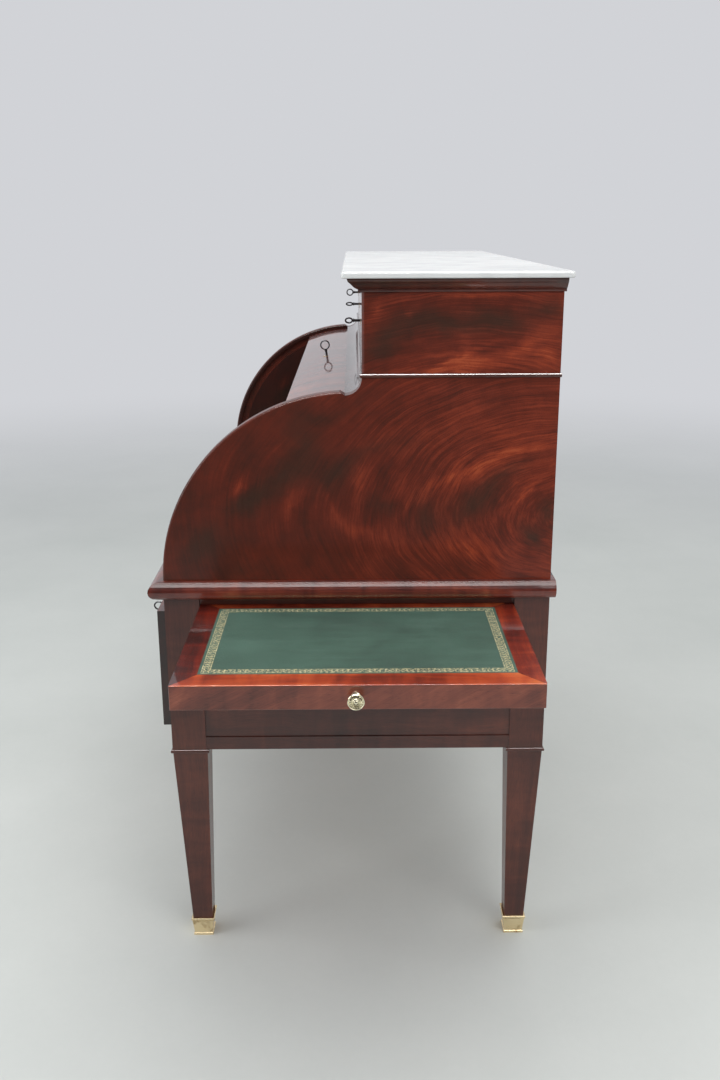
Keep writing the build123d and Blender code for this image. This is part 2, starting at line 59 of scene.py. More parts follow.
class Graph:
    """A material with short ways to add nodes. place is the object's own coordinates in metres."""

    def __init__(self, name, **settings):
        self.material = bpy.data.materials.new(name)
        self.material.use_nodes = True
        self.tree = self.material.node_tree
        self.shader = self.tree.nodes["Principled BSDF"]
        for socket, value in settings.items():
            self.set(socket.replace("_", " "), value)
        self.place = self.node("ShaderNodeTexCoord").outputs["Object"]

    def set(self, socket, value):
        self.feed(self.shader.inputs[socket], value)

    def feed(self, socket, value):
        if isinstance(value, bpy.types.NodeSocket):
            self.tree.links.new(value, socket)
        else:
            socket.default_value = value

    def node(self, kind, inputs=(), **attributes):
        made = self.tree.nodes.new(kind)
        for key, value in attributes.items():
            setattr(made, key, value)
        for key, value in dict(inputs).items():
            self.feed(made.inputs[key], value)
        return made

    def math(self, operation, a, b=0.0, c=0.0, clamp=False):
        inputs = {0: a, 1: b, 2: c}
        return self.node("ShaderNodeMath", inputs, operation=operation, use_clamp=clamp).outputs[0]

    def total(self, start, *terms):
        """start plus the sum of weight * (value - middle) over the terms (value, weight, middle)."""
        value = start
        for field, weight, middle in terms:
            value = self.math("ADD", self.math("MULTIPLY_ADD", field, weight, -weight * middle), value)
        return value

    def vector(self, operation, a, b=(0, 0, 0), c=(0, 0, 0)):
        return self.node("ShaderNodeVectorMath", {0: a, 1: b, 2: c}, operation=operation).outputs[0]

    def combine(self, x, y, z):
        return self.node("ShaderNodeCombineXYZ", {0: x, 1: y, 2: z}).outputs[0]

    def split(self, vector):
        return self.node("ShaderNodeSeparateXYZ", {0: vector}).outputs

    def noise(self, vector, scale, detail=2.0, roughness=0.5, distortion=0.0, output="Fac"):
        inputs = {"Vector": vector, "Scale": scale, "Detail": detail, "Roughness": roughness,
                  "Distortion": distortion}
        return self.node("ShaderNodeTexNoise", inputs).outputs[output]

    def cells(self, vector, scale, feature="F1"):
        inputs = {"Vector": vector, "Scale": scale}
        return self.node("ShaderNodeTexVoronoi", inputs, feature=feature).outputs["Distance"]

    def stretch(self, vector, scale, offset=(0, 0, 0)):
        return self.node("ShaderNodeMapping", {0: vector, 1: offset, 3: scale}).outputs[0]

    def warp(self, vector, scale, amount, detail=2.0):
        """vector pushed about by noise, by up to about half of amount."""
        push = self.noise(vector, scale, detail, output="Color")
        return self.vector("MULTIPLY_ADD", self.vector("SUBTRACT", push, (0.5,) * 3), (amount,) * 3, vector)

    def blob(self, vector, centre, radii, turn=0.0):
        """1 at the centre, falling to 0 at an ellipsoid's surface. turn is in degrees about X."""
        inputs = {0: vector, 1: centre, 2: (math.radians(turn), 0, 0), 3: radii}
        local = self.node("ShaderNodeMapping", inputs, vector_type="TEXTURE").outputs[0]
        ball = self.node("ShaderNodeTexGradient", {0: local}, gradient_type="QUADRATIC_SPHERE")
        return ball.outputs["Fac"]

    def ramp(self, factor, stops):
        made = self.node("ShaderNodeValToRGB", {0: factor})
        elements = made.color_ramp.elements
        while len(elements) < len(stops):
            elements.new(0.5)
        for element, (at, colour) in zip(elements, stops):
            element.position = at
            element.color = colour
        return made.outputs[0]

    def between(self, value, low, high):
        """0 below low, 1 above high, smooth in between."""
        inputs = {0: value, 1: low, 2: high}
        return self.node("ShaderNodeMapRange", inputs, interpolation_type="SMOOTHSTEP").outputs[0]

    def mix(self, factor, a, b):
        """Mixes two colours."""
        made = self.node("ShaderNodeMix", data_type="RGBA")
        for socket, value in ((0, factor), (6, a), (7, b)):
            self.feed(made.inputs[socket], value)
        return made.outputs[2]

    def choose(self, factor, a, b):
        """Mixes two vectors."""
        made = self.node("ShaderNodeMix", data_type="VECTOR")
        for socket, value in ((0, factor), (4, a), (5, b)):
            self.feed(made.inputs[socket], value)
        return made.outputs[1]

    def bump(self, height, distance, strength):
        inputs = {"Height": height, "Distance": distance, "Strength": strength}
        return self.node("ShaderNodeBump", inputs).outputs[0]


# Mahogany

POLISH = {"Coat_Weight": 0.85, "Coat_Roughness": 0.05, "Coat_IOR": 1.5, "Specular_IOR_Level": 0.3}
VENEER = {**POLISH, "Coat_Weight": 0.34, "Coat_Roughness": 0.18, "Specular_IOR_Level": 0.16}
TONES = {
    "deep": ((0.22, srgb(34, 15, 12)), (0.42, srgb(56, 24, 18)), (0.58, srgb(78, 33, 23)),
             (0.78, srgb(104, 46, 30))),
    "plain": ((0.2, srgb(50, 23, 18)), (0.45, srgb(72, 33, 24)), (0.65, srgb(90, 43, 30)),
              (0.85, srgb(112, 56, 38))),
    "waist": ((0.2, srgb(54, 20, 15)), (0.42, srgb(86, 31, 22)), (0.6, srgb(112, 44, 28)),
              (0.82, srgb(142, 66, 40))),
    "face": ((0.2, srgb(78, 36, 26)), (0.42, srgb(104, 50, 36)), (0.6, srgb(124, 62, 44)),
             (0.82, srgb(150, 84, 60))),
    "red": ((0.2, srgb(52, 16, 12)), (0.42, srgb(88, 25, 17)), (0.6, srgb(118, 36, 21)),
            (0.82, srgb(160, 62, 34))),
    "orange": ((0.2, srgb(112, 36, 18)), (0.42, srgb(158, 58, 28)), (0.62, srgb(190, 82, 40)),
               (0.85, srgb(212, 112, 60))),
}
ALONG = {"x": (0.05, 1, 1), "y": (1, 0.05, 1), "z": (1, 1, 0.05)}
ACROSS = {"x": (1, 0.25, 0.25), "y": (0.25, 1, 0.25), "z": (0.25, 0.25, 1)}
PORE_ALONG = {"x": (0.015, 1, 1), "y": (1, 0.015, 1), "z": (1, 1, 0.015)}
PORE_SCALE = 1500
PORE_COLOUR = srgb(30, 12, 9)
END_GRAIN = srgb(24, 13, 12)
MITRE_COLOUR = srgb(24, 10, 8)
MITRE_WIDTH = 0.016                 # as a share of the moulding's width


def grain(g, place, along, seed, figure):
    """Lightness and pores of mahogany whose grain runs along one axis of place."""
    offset = (seed * 1.7, seed * 2.3, seed * 3.1)
    bent = g.warp(g.stretch(place, (1, 1, 1), offset), 2.6, 0.05)
    run = g.stretch(bent, ALONG[along])
    fibre = g.noise(run, 520, 3, 0.65)
    ribbon = g.noise(run, 30, 3, 0.55, 0.5)
    cloud = g.noise(bent, 4.0, 2)
    shimmer = g.noise(g.stretch(bent, ACROSS[along]), 34, 2, 0.5, 0.6)
    value = g.total(0.5, (fibre, 0.38, 0.5), (ribbon, 0.75 * figure, 0.5), (cloud, 0.8 * figure, 0.5),
                    (shimmer, 0.45 * figure, 0.5))
    pores = g.between(g.noise(g.stretch(bent, PORE_ALONG[along]), PORE_SCALE, 1), 0.6, 0.7)
    return value, fibre, pores


def finish_wood(g, colour, fibre, pores):
    """Sets a polished wood's colour, roughness and relief from its fields."""
    g.set("Base Color", g.mix(g.math("MULTIPLY", pores, 0.45), colour, PORE_COLOUR))
    smudge = g.noise(g.place, 9, 3, 0.6)
    g.set("Roughness", g.total(0.39, (smudge, 0.18, 0.5), (fibre, 0.12, 0.5)))
    g.set("Normal", g.bump(g.math("SUBTRACT", fibre, pores), 0.00012, 0.6))
    ripple = g.noise(g.place, 26, 2, 0.5)
    g.set("Coat Normal", g.bump(g.math("MULTIPLY_ADD", fibre, 0.02, ripple), 0.00022, 1.0))
    return g.material


def mahogany(name, along, tones, seed, figure, place=None, dark_ends=False, **settings):
    """Polished wood. place makes other coordinates, and dark_ends darkens faces towards X."""
    g = Graph(name, **{**POLISH, **settings})
    value, fibre, pores = grain(g, g.place if place is None else place(g), along, seed, figure)
    colour = g.ramp(value, TONES[tones])
    if dark_ends:
        across, _, _ = g.split(g.node("ShaderNodeNewGeometry").outputs["True Normal"])
        end = g.between(g.math("ABSOLUTE", across), 0.6, 0.9)
        colour = g.mix(g.math("MULTIPLY", end, 0.85), colour, END_GRAIN)
    return finish_wood(g, colour, fibre, pores)


def mitred_mahogany(name, corner, reach, tones, seed, figure):
    """Wood of a moulding that runs along X in front and along Y at the sides, with a dark mitre.

    corner is X and Y of the mitre's inner end, and reach how far it runs from there.
    """
    g = Graph(name, **POLISH)
    x, y, z = g.split(g.place)
    out = g.math("DIVIDE", g.math("SUBTRACT", g.math("ABSOLUTE", x), corner[0]), reach[0])
    ahead = g.math("DIVIDE", g.math("SUBTRACT", corner[1], y), reach[1])
    over = g.math("SUBTRACT", out, ahead)
    side = g.math("GREATER_THAN", over, 0.0)
    place = g.choose(side, g.place, g.combine(y, x, z))
    value, fibre, pores = grain(g, place, "x", seed, figure)
    joint = g.math("LESS_THAN", g.math("ABSOLUTE", over), MITRE_WIDTH)
    colour = g.mix(g.math("MULTIPLY", joint, 0.7), g.ramp(value, TONES[tones]), MITRE_COLOUR)
    return finish_wood(g, colour, fibre, pores)


def swirl(g, centre, widen, warped):
    """Noise fields that run in arcs round a point of the YZ plane, from fine to broad."""
    _, y, z = g.split(warped)
    u = g.math("DIVIDE", g.math("SUBTRACT", y, centre[0]), widen)
    v = g.math("SUBTRACT", z, centre[1])
    radius = g.math("SQRT", g.math("ADD", g.math("MULTIPLY", u, u), g.math("MULTIPLY", v, v)))
    across = g.math("DIVIDE", u, radius)
    up = g.math("DIVIDE", v, radius)
    fields = []
    for turn, thick, detail in ((4.5, 560.0, 3), (2.6, 170.0, 3), (1.6, 48.0, 2)):
        arc = g.combine(g.math("MULTIPLY", across, turn), g.math("MULTIPLY", up, turn),
                        g.math("MULTIPLY", radius, thick))
        fields.append(g.noise(arc, 1.0, detail, 0.6))
    return fields


FLAME = ((0.06, srgb(46, 25, 19)), (0.26, srgb(68, 32, 22)), (0.44, srgb(94, 36, 22)),
         (0.58, srgb(116, 45, 27)), (0.74, srgb(140, 56, 31)), (0.94, srgb(162, 74, 42)))
OLIVE = srgb(64, 43, 32)
# Painted shade: the side panels' inner faces are darkened to this colour to stand for the shade inside the
# desk
INSIDE_SHADE_COLOUR = srgb(34, 15, 12)
INSIDE_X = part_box("side_panel_right")[0].x + 0.001      # the side panels' inner faces lie within it


def flame(name, centre, widen, patches):
    """Crotch veneer whose streaks sweep round a point, with patches at given places in Y and Z.

    Each patch is (Y, Z, half length, half width, turn in degrees, strength), strength being
    below 0 for a dark patch.
    """
    g = Graph(name, **VENEER)
    x, y, z = g.split(g.place)
    flat = g.combine(0.0, y, z)
    warped = g.warp(g.warp(flat, 3.6, 0.06, 2), 26.0, 0.006, 2)
    fine, medium, broad = swirl(g, centre, widen, warped)
    ragged = g.warp(g.warp(flat, 8.0, 0.05, 3), 70.0, 0.014, 3)
    glow, shade = 0.0, 0.0
    for y0, z0, long, wide, turn, strength in patches:
        patch = g.blob(ragged, (0, y0, z0), (1, long, wide), turn)
        if strength > 0:
            glow = g.math("MULTIPLY_ADD", patch, strength, glow)
        else:
            shade = g.math("MULTIPLY_ADD", patch, -strength, shade)
    streak = g.total(0.80, (medium, 2.0, 0.5), (fine, 0.9, 0.5))
    glow = g.math("MULTIPLY", glow, g.math("MAXIMUM", streak, 0.15))
    fan = g.between(y, -0.14, 0.14)
    crisp = g.math("MULTIPLY", g.math("SUBTRACT", fine, 0.5), g.math("MULTIPLY_ADD", fan, 0.26, 0.22))
    sweep = g.math("MULTIPLY", g.math("SUBTRACT", medium, 0.5), g.math("MULTIPLY_ADD", fan, 0.34, 0.10))
    mottle = g.noise(ragged, 14.0, 4, 0.65)
    value = g.total(0.45, (crisp, 1.0, 0.0), (sweep, 1.0, 0.0), (broad, 0.22, 0.5), (glow, 1.0, 0.0),
                    (mottle, 0.42, 0.5), (y, 0.30, 0.08), (shade, -0.24, 0.0))
    colour = g.ramp(value, FLAME)
    brown = g.math("MULTIPLY", shade, g.total(1.3, (medium, 2.0, 0.5)), clamp=True)
    colour = g.mix(g.math("MULTIPLY", brown, 0.58), colour, OLIVE)
    pores = g.between(g.noise(g.stretch(g.place, (1, 0.3, 1)), PORE_SCALE, 1), 0.6, 0.7)
    # The panels' inner faces are darkened here: painted shade of the desk's inside
    inner_shade = g.math("LESS_THAN", g.math("ABSOLUTE", x), INSIDE_X)
    colour = g.mix(g.math("MULTIPLY", inner_shade, 0.75), colour, INSIDE_SHADE_COLOUR)
    return finish_wood(g, colour, fine, pores)


SIDE_PATCHES = (
    (0.160, 0.930, 0.150, 0.022, 34, 0.30), (0.290, 0.985, 0.160, 0.026, 14, 0.24),
    (0.300, 0.915, 0.080, 0.016, 40, 0.30), (0.010, 0.940, 0.060, 0.020, 62, 0.26),
    (-0.215, 0.916, 0.065, 0.030, 44, 0.34), (-0.120, 0.990, 0.070, 0.024, 34, 0.18),
    (-0.120, 0.880, 0.075, 0.034, 60, 0.22), (-0.040, 0.885, 0.080, 0.014, -58, 0.20),
    (0.020, 0.840, 0.130, 0.034, -24, 0.20), (0.190, 0.812, 0.120, 0.044, -10, 0.20),
    (0.100, 1.020, 0.200, 0.060, 4, 0.10), (0.240, 0.965, 0.180, 0.080, 20, 0.18),
    (-0.086, 1.000, 0.080, 0.060, 40, -0.62), (-0.035, 0.946, 0.100, 0.046, 30, -0.70),
    (-0.125, 0.936, 0.120, 0.044, 35, -0.80), (-0.190, 0.893, 0.095, 0.034, 16, -0.90),
    (-0.262, 0.826, 0.070, 0.050, 30, -0.60), (0.250, 0.938, 0.110, 0.030, 30, -0.60),
    (0.205, 0.890, 0.100, 0.050, 40, -0.85), (0.120, 0.866, 0.080, 0.050, 80, -0.55),
    (0.305, 0.838, 0.065, 0.028, -55, -0.85), (0.335, 0.875, 0.040, 0.060, 0, -0.70),
    (0.040, 0.985, 0.150, 0.034, 15, -0.34), (-0.270, 0.800, 0.100, 0.070, 0, -0.35),
    (0.045, 0.885, 0.060, 0.034, -30, -0.45), (-0.060, 1.050, 0.120, 0.034, 16, -0.40),
)
CASE_PATCHES = (
    (0.180, 1.130, 0.220, 0.028, 6, 0.34), (0.180, 1.146, 0.120, 0.014, 22, 0.30),
    (0.290, 1.160, 0.090, 0.022, 34, 0.26), (0.330, 1.150, 0.050, 0.040, 20, 0.20),
    (0.030, 1.226, 0.045, 0.022, 60, 0.24), (0.090, 1.220, 0.035, 0.016, 50, 0.24),
    (0.170, 1.250, 0.240, 0.014, 0, 0.30), (0.150, 1.206, 0.150, 0.036, -8, -1.00),
    (0.060, 1.190, 0.090, 0.046, 20, -0.85), (0.245, 1.206, 0.110, 0.032, -14, -1.00),
    (0.320, 1.220, 0.070, 0.032, 0, -0.80), (0.040, 1.160, 0.050, 0.030, 0, -0.50),
)


def polar_place(g):
    """Coordinates on the fall: X, then length round its axis, then distance from the axis."""
    x, y, z = g.split(g.place)
    y = g.math("SUBTRACT", y, AXIS[0])
    z = g.math("SUBTRACT", z, AXIS[1])
    turn = g.math("MULTIPLY", g.math("ARCTAN2", y, z), SHELL_RADIUS)
    radius = g.math("SQRT", g.math("ADD", g.math("MULTIPLY", y, y), g.math("MULTIPLY", z, z)))
    return g.combine(x, turn, radius)


FACE_DEPTH, FACE_DROP = 0.0004, 0.001   # the slide's front face starts this near its end and its top
JOINT_HALF = 0.0006                     # half the width of the dark line along a slide's mitre


def slide_wood(side, sign):
    """The slide's borders are mitred round the leather: orange in front, deep red at the sides."""
    g = Graph("slide_wood_" + side, **{**POLISH, "Coat_Roughness": 0.03})
    leather_low, leather_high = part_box("side_slide_leather_" + side)
    low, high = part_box("side_slide_" + side)
    outer, inner = (high.x, leather_high.x) if sign > 0 else (-low.x, -leather_low.x)
    rear = leather_low.x if sign > 0 else -leather_high.x
    slope = (outer - inner) / (high.y - leather_high.y)
    x, y, z = g.split(g.place)
    x = g.math("MULTIPLY", x, float(sign))
    out = g.math("SUBTRACT", x, inner)
    aside = g.math("SUBTRACT", g.math("ABSOLUTE", y), leather_high.y)
    front = g.math("SUBTRACT", out, g.math("MULTIPLY", aside, slope))
    back = g.math("SUBTRACT", g.math("SUBTRACT", rear, x), aside)
    cross = g.math("MAXIMUM", front, back)
    is_cross = g.math("GREATER_THAN", cross, 0.0)
    place = g.choose(is_cross, g.place, g.combine(y, x, z))
    value, fibre, pores = grain(g, place, "x", 4.0 + sign, 1.5)
    warmth = g.total(0.0, (g.noise(g.place, 5.0, 2), 0.5, 0.5), (y, 0.35, 0.0))
    beside = g.ramp(g.total(value, (y, 0.3, 0.0)), TONES["red"])
    top = g.mix(is_cross, beside, g.ramp(g.math("ADD", value, warmth), TONES["orange"]))
    is_end = g.math("GREATER_THAN", x, outer - FACE_DEPTH)
    is_face = g.math("MULTIPLY", is_end, g.math("LESS_THAN", z, high.z - FACE_DROP))
    slanted = g.vector("ADD", g.place, g.combine(0.0, 0.0, g.math("MULTIPLY", y, -0.55)))
    across = grain(g, slanted, "y", 9.0 + sign, 1.1)[0]
    face = g.ramp(g.total(across, (y, 0.3, 0.0)), TONES["face"])
    colour = g.mix(is_face, top, face)
    joint = g.math("LESS_THAN", g.math("ABSOLUTE", cross), JOINT_HALF)
    joint = g.math("MULTIPLY", joint, g.math("SUBTRACT", 1.0, is_face))
    colour = g.mix(g.math("MULTIPLY", joint, 0.65), colour, srgb(30, 12, 8))
    return finish_wood(g, colour, fibre, pores)


# Leather, stone and metal

OUTER_LINE, INNER_LINE = 0.0052, 0.0178     # the gilt border's lines, in from the leather's edge
LINE_HALF = 0.0007
VINE_PERIOD = 0.0165


def tooled_leather(name, node):
    """Green skiver with a tooled gilt border that follows the panel's edges."""
    g = Graph(name, Specular_IOR_Level=0.35, Sheen_Weight=0.08, Sheen_Roughness=0.5)
    low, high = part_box(node)
    middle = (low + high) / 2
    half = (high - low) / 2
    x, y, _ = g.split(g.place)
    from_x = g.math("SUBTRACT", half.x, g.math("ABSOLUTE", g.math("SUBTRACT", x, middle.x)))
    from_y = g.math("SUBTRACT", half.y, g.math("ABSOLUTE", g.math("SUBTRACT", y, middle.y)))
    depth = g.math("MINIMUM", from_x, from_y)
    nearer_x = g.math("LESS_THAN", from_x, from_y)
    run = g.math("ADD", g.math("MULTIPLY", y, nearer_x),
                 g.math("MULTIPLY", x, g.math("SUBTRACT", 1.0, nearer_x)))

    def within(value, full, none):
        """1 below full, 0 above none."""
        return g.math("SUBTRACT", 1.0, g.between(value, full, none))

    def line(at):
        off = g.math("ABSOLUTE", g.math("SUBTRACT", depth, at))
        return within(off, LINE_HALF, LINE_HALF + 0.0004)

    phase = g.math("MULTIPLY", run, 2 * math.pi / VINE_PERIOD)
    across = g.math("SUBTRACT", depth, (INNER_LINE + OUTER_LINE) / 2)
    vine = g.math("MULTIPLY", g.math("SINE", phase), 0.0030)
    stem = within(g.math("ABSOLUTE", g.math("SUBTRACT", across, vine)), 0.0008, 0.0013)
    mirrored = within(g.math("ABSOLUTE", g.math("ADD", across, vine)), 0.0006, 0.0011)
    cell = g.math("ADD", g.math("DIVIDE", run, VINE_PERIOD / 2), 0.25)
    cell = g.math("MULTIPLY", g.math("SUBTRACT", g.math("FRACT", cell), 0.5), VINE_PERIOD / 2)
    cell = g.math("MULTIPLY", cell, cell)
    side = g.math("SUBTRACT", g.math("ABSOLUTE", across), 0.0036)
    petal = g.math("ADD", cell, g.math("MULTIPLY", g.math("MULTIPLY", side, side), 1.7))
    petal = within(petal, 0.0000030, 0.0000056)
    seed = within(g.math("ADD", cell, g.math("MULTIPLY", across, across)), 0.0000010, 0.0000020)
    scroll = stem
    for part in (mirrored, petal, seed, line(OUTER_LINE), line(INNER_LINE)):
        scroll = g.math("MAXIMUM", scroll, part)
    band = g.math("MULTIPLY", g.between(depth, OUTER_LINE - 0.0012, OUTER_LINE - 0.0007),
                  within(depth, INNER_LINE + 0.0007, INNER_LINE + 0.0012))
    worn = g.between(g.noise(g.place, 260, 3, 0.75), 0.40, 0.56)
    gilt = g.math("MULTIPLY", g.math("MULTIPLY", scroll, band), worn)
    grain_cells = g.cells(g.warp(g.place, 300, 0.002), 900, "DISTANCE_TO_EDGE")
    grain_fine = g.noise(g.place, 1400, 2)
    cloud = g.noise(g.warp(g.place, 8, 0.05), 9, 4, 0.6)
    streaks = g.noise(g.stretch(g.place, (1, 0.12, 1)), 60, 3, 0.6)
    tone = g.total(0.5, (cloud, 0.85, 0.5), (streaks, 0.45, 0.5), (grain_fine, 0.15, 0.5))
    colour = g.ramp(tone, ((0.25, srgb(37, 68, 55)), (0.5, srgb(50, 86, 70)), (0.78, srgb(66, 102, 86))))
    crease = g.between(grain_cells, 0.02, 0.14)
    colour = g.mix(g.math("MULTIPLY", g.math("SUBTRACT", 1.0, crease), 0.25), colour, srgb(30, 56, 46))
    fleck = g.noise(g.place, 420, 2)
    gold = g.ramp(fleck, ((0.3, srgb(188, 172, 116)), (0.7, srgb(232, 224, 180))))
    g.set("Base Color", g.mix(gilt, colour, gold))
    g.set("Metallic", g.math("MULTIPLY", gilt, 0.35))
    rough = g.total(0.5, (cloud, 0.2, 0.5), (grain_fine, 0.12, 0.5))
    g.set("Roughness", g.math("SUBTRACT", rough, g.math("MULTIPLY", gilt, 0.12)))
    height = g.math("ADD", g.math("MULTIPLY", crease, 0.5), g.math("MULTIPLY", grain_fine, 0.5))
    height = g.math("SUBTRACT", height, g.math("MULTIPLY", scroll, g.math("MULTIPLY", band, 0.9)))
    g.set("Normal", g.bump(height, 0.00018, 0.8))
    return g.material


def marble(name):
    """White statuary marble: broad pale clouds, faint grey veins and a few dark flecks."""
    g = Graph(name, Subsurface_Weight=0.12, Subsurface_Radius=(0.006, 0.005, 0.0045),
              Coat_Weight=0.25, Coat_Roughness=0.12)
    bent = g.warp(g.warp(g.place, 1.6, 0.25, 3), 9, 0.03, 2)
    cloud = g.noise(bent, 2.6, 4, 0.6)
    vein = g.math("ABSOLUTE", g.math("SUBTRACT", g.noise(bent, 2.1, 5, 0.62), 0.5))
    vein = g.math("SUBTRACT", 1.0, g.between(vein, 0.0, 0.03))
    vein = g.math("MULTIPLY", vein, g.between(g.noise(g.place, 3.1, 2), 0.5, 0.66))
    crystal = g.cells(g.place, 900, "F1")
    fleck = g.between(g.noise(g.stretch(g.place, (1, 0.45, 1)), 130, 3, 0.7), 0.69, 0.76)
    colour = g.ramp(cloud, ((0.3, srgb(204, 206, 205)), (0.62, srgb(224, 225, 223))))
    colour = g.mix(g.math("MULTIPLY", vein, 0.35), colour, srgb(150, 154, 156))
    colour = g.mix(g.math("MULTIPLY", fleck, 0.7), colour, srgb(96, 88, 80))
    g.set("Base Color", g.mix(g.math("MULTIPLY", crystal, 0.08), colour, srgb(255, 255, 252)))
    g.set("Roughness", g.total(0.2, (g.noise(g.place, 14, 3, 0.6), 0.22, 0.5), (crystal, 0.05, 0.5)))
    g.set("Normal", g.bump(g.noise(g.place, 420, 3, 0.6), 0.00004, 0.5))
    return g.material


def metal(name, bright, dull, rough, tarnish):
    """Handled metal with tarnish in patches, fine scratches and a little pitting."""
    g = Graph(name, Metallic=1.0)
    patch = g.noise(g.warp(g.place, 60, 0.01), 55, 4, 0.65)
    scratch = g.noise(g.place, 1600, 2, 0.7)
    pits = g.between(g.cells(g.place, 420), 0.0, 0.16)
    dark = g.between(g.total(patch, (scratch, 0.18, 0.5)), 0.56 - 0.2 * tarnish, 0.72)
    colour = g.mix(g.math("MULTIPLY", dark, 0.8), bright, dull)
    g.set("Base Color", g.mix(g.math("MULTIPLY", g.math("SUBTRACT", 1.0, pits), 0.5), colour, dull))
    g.set("Roughness", g.total(rough, (patch, 0.35, 0.5), (scratch, 0.2, 0.5)))
    height = g.total(0.0, (scratch, 0.35, 0.5), (pits, 1.0, 0.0), (patch, 0.6, 0.5))
    g.set("Normal", g.bump(height, 0.00008, 0.7))
    return g.material


def oak(name, along):
    """Plain oiled oak of drawer boxes and carcase: open grain with paler rays."""
    g = Graph(name, Specular_IOR_Level=0.35)
    bent = g.warp(g.place, 3.0, 0.03)
    run = g.stretch(bent, ALONG[along])
    rings = g.noise(run, 60, 3, 0.6, 0.4)
    fibre = g.noise(run, 700, 3, 0.7)
    ray = g.between(g.noise(g.stretch(bent, ACROSS[along]), 130, 1), 0.62, 0.7)
    cloud = g.noise(bent, 5, 2)
    value = g.total(0.5, (rings, 0.8, 0.5), (fibre, 0.5, 0.5), (cloud, 0.6, 0.5))
    colour = g.ramp(value, ((0.25, srgb(112, 76, 46)), (0.5, srgb(152, 110, 70)),
                            (0.78, srgb(184, 144, 98))))
    g.set("Base Color", g.mix(g.math("MULTIPLY", ray, 0.3), colour, srgb(196, 160, 116)))
    g.set("Roughness", g.total(0.6, (fibre, 0.3, 0.5), (cloud, 0.2, 0.5)))
    g.set("Normal", g.bump(g.math("ADD", fibre, g.math("MULTIPLY", rings, 0.4)), 0.00025, 0.8))
    return g.material


def dress(material, *names):
    """Gives CAD nodes a material."""
    for name in names:
        for slot in NODES[name].material_slots:
            slot.material = material


BRASS = metal("brass_polished", srgb(248, 227, 184), srgb(150, 118, 70), 0.24, 0.4)
KNOB_BRASS = metal("brass_pale", srgb(238, 230, 200), srgb(132, 118, 84), 0.2, 0.3)
STEEL = metal("key_steel", srgb(92, 92, 94), srgb(34, 31, 30), 0.38, 0.8)
SIDE_SWIRL = ((0.420, 0.868), 1.75)         # centre in Y and Z, and how much wider than high
CASE_SWIRL = ((0.200, 1.040), 2.2)
CASE_CORNER = (0.650, 0.010)                # X and Y of the drawer case's front corner
WAIST_CORNER = (0.630, -0.326)
UPPER_DRAWERS = ("upper_drawer_left", "upper_drawer_centre", "upper_drawer_right")
LOWER_DRAWERS = ("deep_drawer_left", "centre_drawer", "deep_drawer_right")
GALLERY_DRAWERS = ("left", "centre", "right")

for side, sign in SIDES:
    dress(flame("flame_side_" + side, *SIDE_SWIRL, SIDE_PATCHES), "side_panel_" + side)
    dress(flame("flame_case_" + side, *CASE_SWIRL, CASE_PATCHES), "drawer_case_side_" + side)
    dress(slide_wood(side, sign), "side_slide_" + side)
    leather = "side_slide_leather_" + side
    dress(tooled_leather("slide_leather_" + side, leather), leather)
    for end, seed in (("front", 1.0), ("back", 2.0)):
        leg = f"leg_{end}_{side}"
        dress(mahogany("mahogany_" + leg, "z", "plain", seed + 5 * (sign > 0), 0.9, Coat_Weight=0.6), leg)
    framing = mahogany("mahogany_framing_" + side, "y", "plain", 3.0 + sign, 1.0, Coat_Weight=0.7)
    dress(framing, "side_framing_" + side)

dress(tooled_leather("writing_leather_green", "writing_leather"), "writing_leather")
dress(mitred_mahogany("mahogany_waist", WAIST_CORNER, (0.040, 0.045), "waist", 6.0, 1.2), "waist_moulding")
dress(mitred_mahogany("mahogany_cornice", CASE_CORNER, (0.021, 0.024), "deep", 7.0, 0.8), "cornice")
dress(mitred_mahogany("mahogany_bead", CASE_CORNER, (0.004, 0.004), "plain", 8.0, 0.6), "upper_bead")
dress(mahogany("mahogany_collars", "x", "plain", 8.5, 0.5), "leg_beads")
dress(mahogany("mahogany_fall", "y", "waist", 11.0, 1.2, place=polar_place, Coat_Roughness=0.03),
      "cylinder_shell")
dress(mahogany("mahogany_cover", "x", "deep", 12.0, 0.8, Coat_Roughness=0.06), "cylinder_cover")
for drawers, first_seed in ((UPPER_DRAWERS, 14.0), (LOWER_DRAWERS, 18.0)):
    for count, name in enumerate(drawers):
        front = name + "_front"
        dress(mahogany("mahogany_" + front, "x", "waist", first_seed + count, 1.2, dark_ends=True), front)
dress(mahogany("mahogany_rails", "x", "plain", 22.0, 0.9), "front_top_rail", "front_lower_rails")
dress(mahogany("mahogany_stiles", "z", "plain", 23.0, 0.8), "front_stiles")
dress(mahogany("mahogany_case_boards", "x", "deep", 24.0, 0.8), "drawer_case_boards", "writing_bed")
dress(mahogany("mahogany_dividers", "z", "deep", 25.0, 0.8), "drawer_case_dividers")
dress(mahogany("mahogany_back", "x", "plain", 26.0, 1.0), "lower_back_panel", "upper_back_panel")
dress(mahogany("mahogany_gallery", "x", "red", 27.0, 0.9), "gallery_case")
for count, name in enumerate(GALLERY_DRAWERS):
    dress(mahogany("mahogany_gallery_" + name, "x", "red", 28.0 + count, 1.2), "gallery_drawer_" + name)
dress(marble("marble_white"), "marble_top")
dress(oak("oak_along", "y"), "pedestal_floors", "kneehole_ceiling", "slide_guides", "slide_shelf",
      "kneehole_partitions", *(name + "_box" for name in UPPER_DRAWERS + LOWER_DRAWERS))
dress(BRASS, "brass_sabots", "cylinder_lock", "side_slide_knob_left", "side_slide_knob_right")
dress(STEEL, "cylinder_key", "deep_drawer_right_key", *(name + "_key" for name in UPPER_DRAWERS))


# Small brass pieces

SHARP_ANGLE = math.radians(35)


def new_object(name, mesh, material):
    made = bpy.data.objects.new(name, mesh)
    bpy.context.scene.collection.objects.link(made)
    made.data.materials.append(material)
    return made


